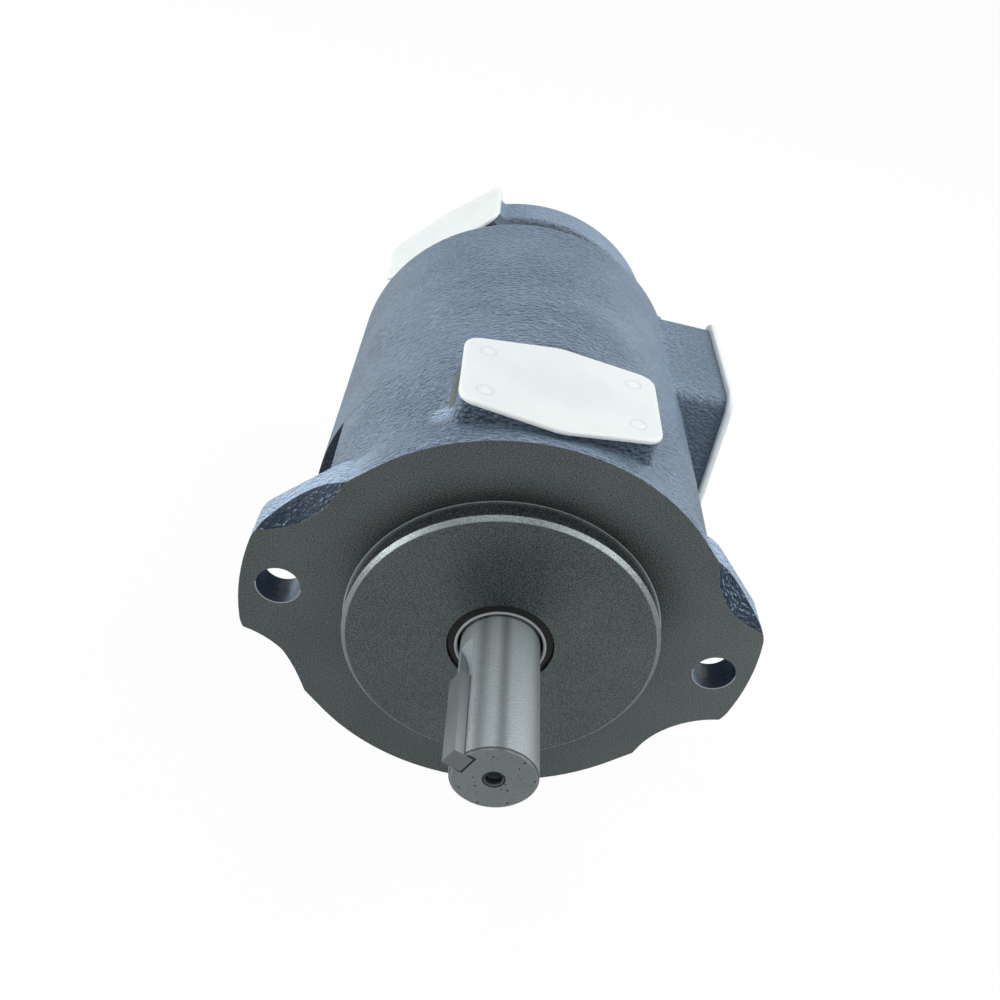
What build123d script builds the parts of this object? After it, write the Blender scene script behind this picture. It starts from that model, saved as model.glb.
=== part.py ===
from build123d import *
from math import atan2, cos, degrees, pi, radians, sin, sqrt, tan
import os

# Double vane pump with a two-bolt mounting flange, three flanged ports and a keyed shaft.
# Everything is modelled about the pump's own axis: +Z leaves the shaft end, +Y is the side of
# the front outlet and +X the side of the inlet. The last step turns this frame so that +Y is up.
# The origin is on the axis, in the mounting face of the flange. All sizes are in millimetres.

# Fits
SEAT = 0.02            # radial clearance of pieces that are pressed or seated
RUN = 0.05             # running clearance
FACE = 0.05            # side clearance of a rotor
VANE_PLAY = 0.04       # side clearance of a vane in its slot
OVER = 2.0             # how far a cutting tool reaches past the surface that it opens

# Mounting flange
PILOT_R = 63.5
PILOT_H = 9.5
PILOT_CHAMFER = 1.6
BOLT_CIRCLE_R = 90.5
BOLT_HOLE_R = 8.75
FLANGE_R = 90.5
FLANGE_RIM = 4.0       # straight part of the round rim before it tapers into the body
FLANGE_TAPER = 22.0    # where the taper meets the body, behind the mounting face
EAR_R = FLANGE_R + 15.3
EAR_THICK = 18.0
EAR_DRAFT = 2.0
EAR_CORNER_R = 16.0
EAR_ROOT_R = 20.0      # where the ear's flank runs into the round rim
SPOT_FACE_R = 15.0     # seat of the mounting bolt's washer, in the ear's back
SPOT_FACE_DEPTH = 3.5
SCOOP_R = 38.0         # hollow between ear and rim, on the mounting face
SCOOP_X = 110.0
SCOOP_Y = 62.6
SCOOP_ANGLE = 37.0     # half angle of the hollow's cone

# Body casting
BODY_R = FLANGE_R - 2.9
BODY_REAR_R = BODY_R - 1.8
BODY_EDGE = 2.0        # rounding of the rear rim
BODY_LENGTH = 218.5
RELIEF_END = 72.4      # room for the heads of the mounting bolts, cast into both flanks
RELIEF_DEPTH_X = BODY_R - 12.6
RELIEF_R = 115.0
SEAL_BORE_R = 21.5
SEAL_SHOULDER = 0.5    # height of the seal's shoulder above the mounting face
SEAL_WIDTH = 8.0
SEAL_FRONT = 0.9       # how far the seal's inner rim stands out from its edge
SEAL_CASE_R = 18.3
SEAL_CASE_WALL = 1.2
SEAL_CASE_FRONT = 0.7  # how far the case stands out from the rubber
SHAFT_HOLE_R = 18.4
RING_ROOM = 2.2        # room for the shaft's retaining ring in front of the bearing
RING_ROOM_R = 24.0
BEARING_FRONT = 6.0    # depth of the bearing's front face below the mounting face
CHAMBER_FRONT = 36.0   # front outlet chamber
CHAMBER_R = 50.0
CARTRIDGE_SHOULDER = 52.0
INLET_FRONT = 128.0    # inlet chamber
INLET_REAR = BODY_LENGTH - 14.5
INLET_R = 66.0

# Ports: height of the face above the axis, place along the axis, boss length and its width at
# the ends and in the middle, port radius, bolt spacing across and along the pump, tapped holes
P1_FACE = FLANGE_R + 1.7
P1_Z = -37.0
P1_BOSS = (77.0, 42.0, 58.0)
P1_BLEND = 8.0
P1_CORNER = 5.0
P1_PORT_R = 16.0
P1_DEPTH_R = 46.0      # how close to the axis the port is drilled
P1_BOLTS = (58.7, 30.2)
P1_TAP_R = 4.25
P1_TAP_DEPTH = 20.0
INLET_FACE = BODY_R + 6.9
INLET_Z = 48.5 - BODY_LENGTH
INLET_BOSS = (112.5, 80.0, 106.5)
INLET_CORNER = 9.0
INLET_BLEND = 6.0
INLET_PORT_R = 31.75
INLET_BOLTS = (88.9, 50.8)
INLET_TAP_R = 5.1
INLET_TAP_DEPTH = 24.0
P2_FACE = 76.0
P2_Z = -BODY_LENGTH - 35.5
P2_ANGLE = 135.0
P2_BOSS = (68.5, 39.0, 52.0)
P2_CORNER = 5.0
P2_BLEND = 10.0
PAD_ROOT = 26.0        # depth of a port pad below its face, well inside the casting
PORT_OVERRUN = 8.0     # how far a port is drilled past the wall of its chamber
P2_PORT_R = 12.5
P2_BOLTS = (52.4, 26.2)
P2_TAP_R = 4.25
P2_TAP_DEPTH = 16.0

# Rear cover casting
COVER_GAP = 0.05
COVER_NECK_R = 75.0
COVER_R = 77.7
COVER_RIM_FRONT = BODY_LENGTH + 30.5
COVER_RIM_REAR = BODY_LENGTH + 50.5
COVER_REAR = BODY_LENGTH + 59.5
COVER_HUB_R = 34.0
COVER_HUB_REAR = BODY_LENGTH + 69.5
COVER_EDGE = 3.0
SPIGOT_R = 54.4
SPIGOT_LENGTH = 12.0
COVER_SEAL_SECTION = 3.5
COVER_SEAL_PLACE = 6.0
COVER_BOLT_CIRCLE_R = 63.0
COVER_BOLT_ANGLES = (0, 90, 180, 270)
COVER_BOLT_R = 6.0
COVER_BOLT_HOLE_R = 6.75
COVER_BOLT_THREAD = 24.0
COVER_BOLT_GRIP = 20.0
COVER_BOLT_HEAD_R = 9.0
COVER_BOLT_HEAD_H = 12.0
COVER_BOLT_SOCKET = 10.0
COUNTERBORE_R = 9.6
REAR_SHOULDER = BODY_LENGTH + 18.5
P2_CHAMBER_R = 43.0
P2_CHAMBER_REAR = BODY_LENGTH + 43.5
REAR_LAND_END = BODY_LENGTH + 51.5
REAR_BUSH_END = BODY_LENGTH + 66.5

# Shaft and key
SHAFT_END = 76.2
SHAFT_R = 15.875
SHAFT_CHAMFER = 1.0
CENTRE_HOLE_R = 3.1
CENTRE_HOLE_EDGE = 0.5
CENTRE_HOLE_DEPTH = 12.0
KEY_WIDTH = 7.94
KEY_LENGTH = 38.1
KEY_TOP = 19.4         # height of the key's back above the axis
KEY_ANGLE = 157.0
KEY_CHAMFER = 0.3
KEYWAY_EDGE = 0.4
KEYWAY_END = 29.0      # where the milled keyway starts to run out
KEYWAY_RUNOUT_R = 16.0
SEAT_FRONT = 3.2       # front end of the bearing seat
COLLAR_R = 20.5
COLLAR_LENGTH = 2.5
NECK_R = 14.0
MIDDLE_R = 12.0
REAR_CORE_R = 11.0
REAR_JOURNAL_R = 10.0
REAR_BUSH_R = 14.0

# Front ball bearing and its retaining rings
BEARING_BORE_R = 17.5
BEARING_R = 36.0
BEARING_WIDTH = 17.0
BALL_R = 5.55
BALL_COUNT = 9
BALL_CIRCLE_R = 26.75
GROOVE_PLAY = 0.05
RACE_STEP = 3.2        # distance of the race shoulders from the ball circle
CAGE_HALF = 6.9
CAGE_WALL = 1.5
POCKET_PLAY = 0.15
BEARING_BACK = -BEARING_FRONT - BEARING_WIDTH
BEARING_RING_WIDTH = 2.5
RING_BACK = BEARING_BACK - BEARING_RING_WIDTH
BEARING_RING_R = 38.6
BEARING_RING_INNER_R = 33.2
SHAFT_RING_WIDTH = 1.6
SHAFT_RING_R = 21.0
SHAFT_RING_SEAT_R = 16.2
RING_OPENING = 24.0    # angle left open in a retaining ring

# Vane cartridges: the front one and the rear one
FRONT_PLATE_R = 54.0
FRONT_RING_WIDTH = 30.0
FRONT_ROTOR_R = 33.0
FRONT_LIFT = 5.6
FRONT_VANE_HEIGHT = 12.0
FRONT_VANE_THICK = 2.4
FRONT_SPLINE_R = 15.8
FRONT_OUTLET_PLATE = 20.0
FRONT_INLET_PLATE = 16.0
FRONT_HUB_R = BEARING_R - 0.4
FRONT_HUB_LENGTH = 25.8
FRONT_HUB_SEAL = 20.5
FRONT_BORE_R = 16.4
REAR_PLATE_R = 48.0
REAR_RING_WIDTH = 22.0
REAR_ROTOR_R = 27.5
REAR_LIFT = 4.6
REAR_VANE_HEIGHT = 10.0
REAR_VANE_THICK = 2.2
REAR_SPLINE_R = 13.0
REAR_OUTLET_PLATE = 18.0
REAR_INLET_PLATE = 14.0
REAR_HUB_R = 26.0
REAR_HUB_LENGTH = 32.0
REAR_HUB_SEAL = 28.5
REAR_BORE_R = 13.6
CAM_GAP = 0.3          # gap between the rotor and the cam's short radius
VANE_SUNK = 0.2        # how far a retracted vane's tip lies below the rotor's rim
VANE_COUNT = 10
VANE_TURN = 18.0       # angle of the first vane from the cam's long axis
CAM_DWELL = 20.0       # half angle of the cam's round stretches
CAM_POINTS = 48
FLEX = 3.5             # thickness of a flex plate
OUTLET_START = 112.0
INLET_START = 22.0
WINDOW_ANGLE = 46.0
WIDE_WINDOW = 7.6
SPLINE_TEETH = 14
SPLINE_DEPTH = 1.4
INSERT_SHARE = 0.36    # width of the insert as a share of the vane's
SCREW_R = 3.0
SCREW_HOLE_R = 3.3
SCREW_HEAD_R = 5.0
SCREW_HEAD_H = 6.0
SCREW_SOCKET = 5.0
SCREW_THREAD = 10.0
PIN_R = 3.0
PIN_DEPTH = 8.0
HUB_SEAL_SECTION = 3.0
SPACER_R = 47.0
SPACER_WALL = 4.0
SPACER_WINDOWS = 4

# Protective plastic covers of the ports
COVER_PLATE = 2.1
INLET_COVER_PLATE = 3.0
COVER_OVERHANG = 3.0
P1_COVER_OVERHANG = (0.5, 3.0)    # at its ends and at its sides
COVER_SEAT = 0.05
PEG_PLAY = 0.3
PEG_LENGTH = 9.0
DIMPLE_R = 3.6
DIMPLE_DEPTH = 0.5


def ring(outer, inner, low, high):
    """A plain ring between two heights."""
    body = Pos(0, 0, (low + high) / 2) * Cylinder(outer, high - low)
    return body - Pos(0, 0, (low + high) / 2) * Cylinder(inner, high - low + 2 * OVER)


def rod(radius, low, high):
    return Pos(0, 0, (low + high) / 2) * Cylinder(radius, high - low)


def turned(points):
    """Revolves an outline of (radius, height) points about the pump axis."""
    return revolve(Plane.XZ * make_face(Polyline(*points, close=True)), Axis.Z)


def around(shape, count, start=0.0):
    """Copies of a shape at even angles about the axis."""
    return [Rot(0, 0, start + i * 360 / count) * shape for i in range(count)]


def long_hexagon(length, end_width, middle_width, corner):
    """The outline of a port pad: widest in its middle, with rounded corners."""
    x, e, m = length / 2, end_width / 2, middle_width / 2
    outline = make_face(Polyline((-x, -e), (0, -m), (x, -e), (x, e), (0, m), (-x, e), close=True))
    outline = fillet([v for v in outline.vertices() if abs(v.X) > 1], corner)
    return fillet([v for v in outline.vertices() if abs(v.X) < 0.1], 2 * corner)


def port_frame(face, z, angle):
    """The plane of a port: its x runs across the pump, its y along the axis, its z outwards."""
    a = radians(angle)
    return Plane(origin=(face * cos(a), face * sin(a), z), x_dir=(sin(a), -cos(a), 0), z_dir=(cos(a), sin(a), 0))


P1_FRAME = port_frame(P1_FACE, P1_Z, 90)
INLET_FRAME = port_frame(INLET_FACE, INLET_Z, 0)
P2_FRAME = port_frame(P2_FACE, P2_Z, P2_ANGLE)


def pad(frame, sizes, corner, depth=PAD_ROOT):
    """A port pad, from its face down into the casting."""
    return frame.location * extrude(long_hexagon(*sizes, corner), -depth)


def end_blends(frame, face, sizes, body_r, radius):
    """Concave blends between both end walls of a port pad and the round casting."""
    wall = sizes[0] / 2
    centre = (wall + radius, sqrt((body_r + radius) ** 2 - (wall + radius) ** 2))
    foot = (centre[0] * body_r / (body_r + radius), centre[1] * body_r / (body_r + radius))
    web = make_face(Polyline((wall - OVER, centre[1]), (wall, centre[1]), foot, (foot[0] - OVER, foot[1] - 2 * OVER),
                             (wall - OVER, foot[1] - 2 * OVER), close=True))
    web -= Pos(*centre) * Circle(radius)
    width = sizes[1] - 2
    prism = Pos(0, width / 2, -face) * Rot(90, 0, 0) * extrude(web, width)
    ends = prism.edges().filter_by(lambda e: abs(abs((e @ 0.5).Y) - width / 2) < 0.01 and e.length > radius * 0.8
                                   and e.geom_type == GeomType.CIRCLE)
    prism = chamfer(ends, radius * 0.25) if len(ends) else prism
    return [frame.location * prism.solids()[0], frame.location * mirror(prism, Plane.YZ).solids()[0]]


def port(frame, radius, depth):
    return frame.location * rod(radius, -depth, OVER)


def corners(bolts):
    return [(sx * bolts[0] / 2, sy * bolts[1] / 2) for sx in (-1, 1) for sy in (-1, 1)]


def taps(frame, bolts, radius, depth):
    return [frame.location * Pos(x, y, 0) * rod(radius, -depth, OVER) for x, y in corners(bolts)]


def ear(root_r=0.0):
    """One ear of the flange: flanks at 45 degrees that touch the round rim, and a round end."""
    touch = FLANGE_R / sqrt(2)
    half = sqrt(EAR_R ** 2 - FLANGE_R ** 2) / sqrt(2)
    x, y = touch + half, touch - half
    outline = make_face([
        Line((0, 0), (touch, -touch)), Line((touch, -touch), (x, -y)),
        ThreePointArc((x, -y), (EAR_R, 0), (x, y)),
        Line((x, y), (touch, touch)), Line((touch, touch), (0, 0))])
    outline = fillet([v for v in outline.vertices() if v.X > touch + 1], EAR_CORNER_R)
    if root_r:
        outline = fillet([v for v in outline.vertices() if abs(abs(v.Y) - touch) < 0.01], root_r)
    return outline


def body_outside():
    rounding = [(BODY_REAR_R - BODY_EDGE * (1 - cos(radians(a))), -BODY_LENGTH + BODY_EDGE * (1 - sin(radians(a))))
                for a in (0, 30, 60, 90)]
    casting = turned([
        (0, 0), (FLANGE_R, 0), (FLANGE_R, -FLANGE_RIM), (BODY_R, -FLANGE_TAPER),
        (BODY_R, -RELIEF_END), *rounding, (0, -BODY_LENGTH)])
    relief = Pos(RELIEF_DEPTH_X + RELIEF_R, 0, -(RELIEF_END + EAR_THICK) / 2) * Cylinder(
        RELIEF_R, RELIEF_END - EAR_THICK)
    casting -= relief
    casting -= mirror(relief, Plane.YZ)
    front = extrude(ear(), -FLANGE_RIM)
    back = Pos(0, 0, -FLANGE_RIM) * mirror(
        extrude(ear(EAR_ROOT_R), EAR_THICK - FLANGE_RIM, taper=EAR_DRAFT), Plane.XY)
    for piece in (front, back):
        casting += piece
        casting += mirror(piece, Plane.YZ)
    casting += pad(P1_FRAME, P1_BOSS, P1_CORNER)
    for web in end_blends(P1_FRAME, P1_FACE, P1_BOSS, BODY_R, P1_BLEND):
        casting += web
    casting += pad(INLET_FRAME, INLET_BOSS, INLET_CORNER, INLET_FACE - CHAMBER_R)
    for web in end_blends(INLET_FRAME, INLET_FACE, INLET_BOSS, BODY_REAR_R, INLET_BLEND):
        casting += web
    casting -= rod(COVER_R, -COVER_RIM_FRONT, -BODY_LENGTH)
    depth = SCOOP_R / tan(radians(SCOOP_ANGLE))
    rise = OVER * tan(radians(SCOOP_ANGLE))
    for side in (0, 180):
        for y in (SCOOP_Y, -SCOOP_Y):
            casting -= Rot(0, 0, side) * Pos(SCOOP_X, y, (OVER - depth) / 2) * Cone(
                0.01, SCOOP_R + rise, depth + OVER)
    casting += rod(PILOT_R, -OVER, PILOT_H - PILOT_CHAMFER)
    return casting + Pos(0, 0, PILOT_H - PILOT_CHAMFER / 2) * Cone(
        PILOT_R, PILOT_R - PILOT_CHAMFER, PILOT_CHAMFER)


def body_casting():
    casting = body_outside()
    casting -= turned([
        (0, PILOT_H + OVER), (SEAL_BORE_R, PILOT_H + OVER), (SEAL_BORE_R, SEAL_SHOULDER),
        (SHAFT_HOLE_R, SEAL_SHOULDER), (SHAFT_HOLE_R, -RING_ROOM), (RING_ROOM_R, -RING_ROOM),
        (RING_ROOM_R, -BEARING_FRONT), (BEARING_R, -BEARING_FRONT), (BEARING_R, -CHAMBER_FRONT),
        (CHAMBER_R, -CHAMBER_FRONT), (CHAMBER_R, -CARTRIDGE_SHOULDER),
        (FRONT.plate_r + RUN, -CARTRIDGE_SHOULDER), (FRONT.plate_r + RUN, -INLET_FRONT),
        (INLET_R, -INLET_FRONT), (INLET_R, -INLET_REAR), (SPIGOT_R + RUN, -INLET_REAR),
        (SPIGOT_R + RUN, -BODY_LENGTH - OVER), (0, -BODY_LENGTH - OVER)])
    casting -= ring(BEARING_RING_R + SEAT, BEARING_R - OVER, RING_BACK - SEAT, BEARING_BACK)
    casting -= port(P1_FRAME, P1_PORT_R, P1_FACE - P1_DEPTH_R)
    casting -= taps(P1_FRAME, P1_BOLTS, P1_TAP_R, P1_TAP_DEPTH)
    casting -= port(INLET_FRAME, INLET_PORT_R, INLET_FACE - INLET_R + PORT_OVERRUN)
    casting -= taps(INLET_FRAME, INLET_BOLTS, INLET_TAP_R, INLET_TAP_DEPTH)
    for side in (-1, 1):
        hole = Pos(side * BOLT_CIRCLE_R, 0, 0)
        casting -= hole * rod(BOLT_HOLE_R, -EAR_THICK - OVER, OVER)
        casting -= hole * rod(SPOT_FACE_R, -EAR_THICK - OVER, -EAR_THICK + SPOT_FACE_DEPTH)
    for angle in COVER_BOLT_ANGLES:
        casting -= Rot(0, 0, angle) * Pos(COVER_BOLT_CIRCLE_R, 0, 0) * rod(
            COVER_BOLT_R + SEAT, -BODY_LENGTH - OVER, -BODY_LENGTH + COVER_BOLT_THREAD + 2)
    return casting


def rear_cover():
    casting = turned([
        (0, -BODY_LENGTH + SPIGOT_LENGTH), (SPIGOT_R, -BODY_LENGTH + SPIGOT_LENGTH),
        (SPIGOT_R, -BODY_LENGTH - COVER_GAP), (COVER_NECK_R, -BODY_LENGTH - COVER_GAP),
        (COVER_NECK_R, -COVER_RIM_FRONT + COVER_EDGE), (COVER_R, -COVER_RIM_FRONT),
        (COVER_R, -COVER_RIM_REAR), (COVER_R - 7, -COVER_REAR), (COVER_HUB_R + 6, -COVER_REAR),
        (COVER_HUB_R, -COVER_HUB_REAR), (0, -COVER_HUB_REAR)])
    casting += pad(P2_FRAME, P2_BOSS, P2_CORNER)
    for web in end_blends(P2_FRAME, P2_FACE, P2_BOSS, COVER_NECK_R, P2_BLEND):
        casting += web
    room = COVER_OVERHANG + 3
    casting -= P2_FRAME.location * extrude(long_hexagon(
        P2_BOSS[0] + 2 * room, P2_BOSS[1] + 2 * room, P2_BOSS[2] + 2 * room, P2_CORNER), 10)
    casting -= turned([
        (0, -BODY_LENGTH + SPIGOT_LENGTH + OVER), (REAR.plate_r + RUN, -BODY_LENGTH + SPIGOT_LENGTH + OVER),
        (REAR.plate_r + RUN, -REAR_SHOULDER), (P2_CHAMBER_R, -REAR_SHOULDER),
        (P2_CHAMBER_R, -P2_CHAMBER_REAR), (REAR.hub_r + RUN, -P2_CHAMBER_REAR),
        (REAR.hub_r + RUN, -REAR_LAND_END), (REAR_BUSH_R + SEAT, -REAR_LAND_END),
        (REAR_BUSH_R + SEAT, -REAR_BUSH_END), (0, -REAR_BUSH_END)])
    casting -= port(P2_FRAME, P2_PORT_R, P2_FACE - P2_CHAMBER_R + PORT_OVERRUN)
    casting -= taps(P2_FRAME, P2_BOLTS, P2_TAP_R, P2_TAP_DEPTH)
    seal = -BODY_LENGTH + COVER_SEAL_PLACE
    casting -= ring(SPIGOT_R + OVER, SPIGOT_R - COVER_SEAL_SECTION, seal - COVER_SEAL_SECTION / 2 - SEAT,
                    seal + COVER_SEAL_SECTION / 2 + SEAT)
    head_seat = -BODY_LENGTH - COVER_BOLT_GRIP
    for angle in COVER_BOLT_ANGLES:
        place = Rot(0, 0, angle) * Pos(COVER_BOLT_CIRCLE_R, 0, 0)
        casting -= place * rod(COVER_BOLT_HOLE_R, head_seat - 1, -BODY_LENGTH + OVER)
        casting -= place * rod(COUNTERBORE_R, -COVER_HUB_REAR, head_seat)
    return casting


def cover_bolts():
    head_seat = -BODY_LENGTH - COVER_BOLT_GRIP - SEAT
    bolt = rod(COVER_BOLT_R, head_seat - 1, -BODY_LENGTH + COVER_BOLT_THREAD)
    bolt += rod(COVER_BOLT_HEAD_R, head_seat - COVER_BOLT_HEAD_H, head_seat)
    bolt -= hexagon(COVER_BOLT_SOCKET, head_seat - COVER_BOLT_HEAD_H - OVER, head_seat - COVER_BOLT_HEAD_H + 6)
    return [Rot(0, 0, a) * Pos(COVER_BOLT_CIRCLE_R, 0, 0) * bolt for a in COVER_BOLT_ANGLES]


def hexagon(across, low, high):
    return Pos(0, 0, low) * extrude(RegularPolygon(across / 2, 6, major_radius=False), high - low)


def o_ring(outer, section, z):
    """A seal ring of eight-sided section whose outside touches a bore of the given radius."""
    half, cut_off = section / 2, section * 0.29
    middle = outer - half
    return turned([
        (middle - half, z - half + cut_off), (middle - half, z + half - cut_off),
        (middle - half + cut_off, z + half), (middle + half - cut_off, z + half),
        (middle + half, z + half - cut_off), (middle + half, z - half + cut_off),
        (middle + half - cut_off, z - half), (middle - half + cut_off, z - half)])


def shaft_seal():
    low, high = SEAL_SHOULDER + SEAT, SEAL_SHOULDER + SEAL_WIDTH
    lip = SHAFT_R + RUN
    return turned([
        (SEAL_BORE_R - SEAT, low), (SEAL_BORE_R - SEAT, high), (SEAL_CASE_R, high + SEAL_FRONT),
        (SEAL_CASE_R, low + 4.5), (lip + 1.2, low + 4.5), (lip, low + 3.0), (lip, low + 2.2),
        (lip + 0.6, low + 0.6), (lip + 1.2, low + 0.6), (lip + 1.2, low + 3.3),
        (SEAL_CASE_R + 0.6, low + 3.3), (SEAL_CASE_R + 0.6, low)])


def seal_case():
    low = SEAL_SHOULDER + SEAT + 4.5 + SEAT
    front = SEAL_SHOULDER + SEAL_WIDTH + SEAL_FRONT + SEAL_CASE_FRONT
    inner = SEAL_CASE_R - SEAL_CASE_WALL
    return turned([(SEAL_CASE_R - SEAT, low), (SEAL_CASE_R - SEAT, front - SEAL_CASE_FRONT / 2),
                   (SEAL_CASE_R - SEAL_CASE_WALL / 2, front), (inner, front - SEAL_CASE_FRONT / 2), (inner, low)])


def garter_spring():
    section = 1.1
    return o_ring(SHAFT_R + RUN + 1.2 + SEAT + section, section, SEAL_SHOULDER + SEAT + 1.9)


def bearing_middle():
    return -BEARING_FRONT - BEARING_WIDTH / 2


def groove():
    return Pos(0, 0, bearing_middle()) * Torus(BALL_CIRCLE_R, BALL_R + GROOVE_PLAY)


def outer_race():
    half = BEARING_WIDTH / 2 - SEAT
    mid = bearing_middle()
    return ring(BEARING_R - SEAT, BALL_CIRCLE_R + RACE_STEP, mid - half, mid + half) - groove()


def inner_race():
    half = BEARING_WIDTH / 2 - SEAT
    mid = bearing_middle()
    return ring(BALL_CIRCLE_R - RACE_STEP, BEARING_BORE_R + SEAT, mid - half, mid + half) - groove()


def balls():
    return around(Pos(BALL_CIRCLE_R, 0, bearing_middle()) * Sphere(BALL_R), BALL_COUNT)


def ball_cage():
    mid = bearing_middle()
    cage = ring(BALL_CIRCLE_R + CAGE_WALL / 2, BALL_CIRCLE_R - CAGE_WALL / 2, mid - CAGE_HALF,
                mid + CAGE_HALF)
    for pocket in around(Pos(BALL_CIRCLE_R, 0, mid) * Rot(0, 90, 0) * Cylinder(BALL_R + POCKET_PLAY, 4 * CAGE_WALL), BALL_COUNT):
        cage -= pocket
    return cage


def open_ring(outer, inner, low, high, angle):
    """A retaining ring: a flat ring with a gap."""
    body = ring(outer, inner, low, high)
    gap = Rot(0, 0, angle) * Pos(outer, 0, (low + high) / 2) * Box(2 * outer, 2 * inner * sin(
        radians(RING_OPENING / 2)), high - low + OVER)
    return body - gap




def spline(tip_r, low, high, play=0.0):
    """A toothed bar; the same bar with some play cuts the matching hole."""
    root_r = tip_r - SPLINE_DEPTH + play
    pitch = 360 / SPLINE_TEETH
    slip = degrees(play / tip_r)
    points = []
    for i in range(SPLINE_TEETH):
        for share, r in ((-0.30, root_r), (-0.18, tip_r + play), (0.18, tip_r + play), (0.30, root_r)):
            a = radians(i * pitch + share * pitch + (slip if share > 0 else -slip) * 2)
            points.append((r * cos(a), r * sin(a)))
    return Pos(0, 0, low) * extrude(make_face(Polyline(*points, close=True)), high - low)


def shaft():
    front = [FRONT.pump_z(FRONT.ring_from - 1), FRONT.pump_z(FRONT.ring_to + 1)]
    rear = [REAR.pump_z(REAR.ring_to + 1), REAR.pump_z(REAR.ring_from - 1)]
    journal = REAR.pump_z(REAR.outlet_plate)
    bar = turned([
        (0, SHAFT_END), (SHAFT_R - SHAFT_CHAMFER, SHAFT_END), (SHAFT_R, SHAFT_END - SHAFT_CHAMFER),
        (SHAFT_R, -SEAT_FRONT), (BEARING_BORE_R, -SEAT_FRONT - 0.8),
        (BEARING_BORE_R, -BEARING_FRONT + SHAFT_RING_WIDTH + SEAT),
        (SHAFT_RING_SEAT_R, -BEARING_FRONT + SHAFT_RING_WIDTH + SEAT),
        (SHAFT_RING_SEAT_R, -BEARING_FRONT), (BEARING_BORE_R, -BEARING_FRONT),
        (BEARING_BORE_R, BEARING_BACK), (COLLAR_R, BEARING_BACK), (COLLAR_R, BEARING_BACK - COLLAR_LENGTH),
        (NECK_R, BEARING_BACK - COLLAR_LENGTH), (NECK_R, front[0]), (MIDDLE_R, front[0]),
        (MIDDLE_R, rear[0]), (REAR_CORE_R, rear[0]), (REAR_CORE_R, journal), (REAR_JOURNAL_R, journal),
        (REAR_JOURNAL_R, -REAR_BUSH_END + 1.5), (0, -REAR_BUSH_END + 1.5)])
    bar += spline(FRONT.spline_r, front[1], front[0])
    bar += spline(REAR.spline_r, rear[1], rear[0])
    turn = Rot(0, 0, KEY_ANGLE)
    floor = KEY_TOP - KEY_WIDTH
    slot = Pos(floor + SHAFT_R / 2, 0, (SHAFT_END + OVER + KEYWAY_END) / 2) * Box(
        SHAFT_R, KEY_WIDTH, SHAFT_END + OVER - KEYWAY_END)
    slot += Pos(floor + KEYWAY_RUNOUT_R, 0, KEYWAY_END) * Rot(90, 0, 0) * Cylinder(
        KEYWAY_RUNOUT_R, KEY_WIDTH)
    bar -= turn * slot
    rim = sqrt(SHAFT_R ** 2 - KEY_WIDTH ** 2 / 4) - KEYWAY_EDGE
    half, wide = KEY_WIDTH / 2, KEY_WIDTH / 2 + SHAFT_R - rim
    edge = make_face(Polyline((rim, -half), (SHAFT_R, -wide), (SHAFT_R, wide), (rim, half), close=True))
    bar -= turn * Pos(0, 0, KEYWAY_END) * extrude(edge, SHAFT_END + OVER - KEYWAY_END)
    low = SHAFT_END - CENTRE_HOLE_DEPTH
    return bar - turned([
        (0, low), (CENTRE_HOLE_R, low), (CENTRE_HOLE_R, SHAFT_END - CENTRE_HOLE_EDGE),
        (CENTRE_HOLE_R + CENTRE_HOLE_EDGE + OVER, SHAFT_END + OVER), (0, SHAFT_END + OVER)])


def key():
    width = KEY_WIDTH - 2 * SEAT
    low = KEY_TOP - KEY_WIDTH + SEAT
    bar = Pos((low + KEY_TOP) / 2, 0, SHAFT_END - KEY_LENGTH / 2) * Box(
        KEY_TOP - low, width, KEY_LENGTH)
    return Rot(0, 0, KEY_ANGLE) * chamfer(bar.edges().filter_by(Axis.Z), KEY_CHAMFER)


def rear_bush():
    return ring(REAR_BUSH_R, REAR_JOURNAL_R + RUN, -REAR_BUSH_END + 1, -REAR_LAND_END - SEAT)


def arc_slot(radius, width, angle_from, angle_to, low, high):
    """A kidney slot, cut through between two heights."""
    arc = CenterArc((0, 0), radius, angle_from, angle_to - angle_from)
    return Pos(0, 0, low) * extrude(SlotArc(arc, width), high - low)


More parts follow.
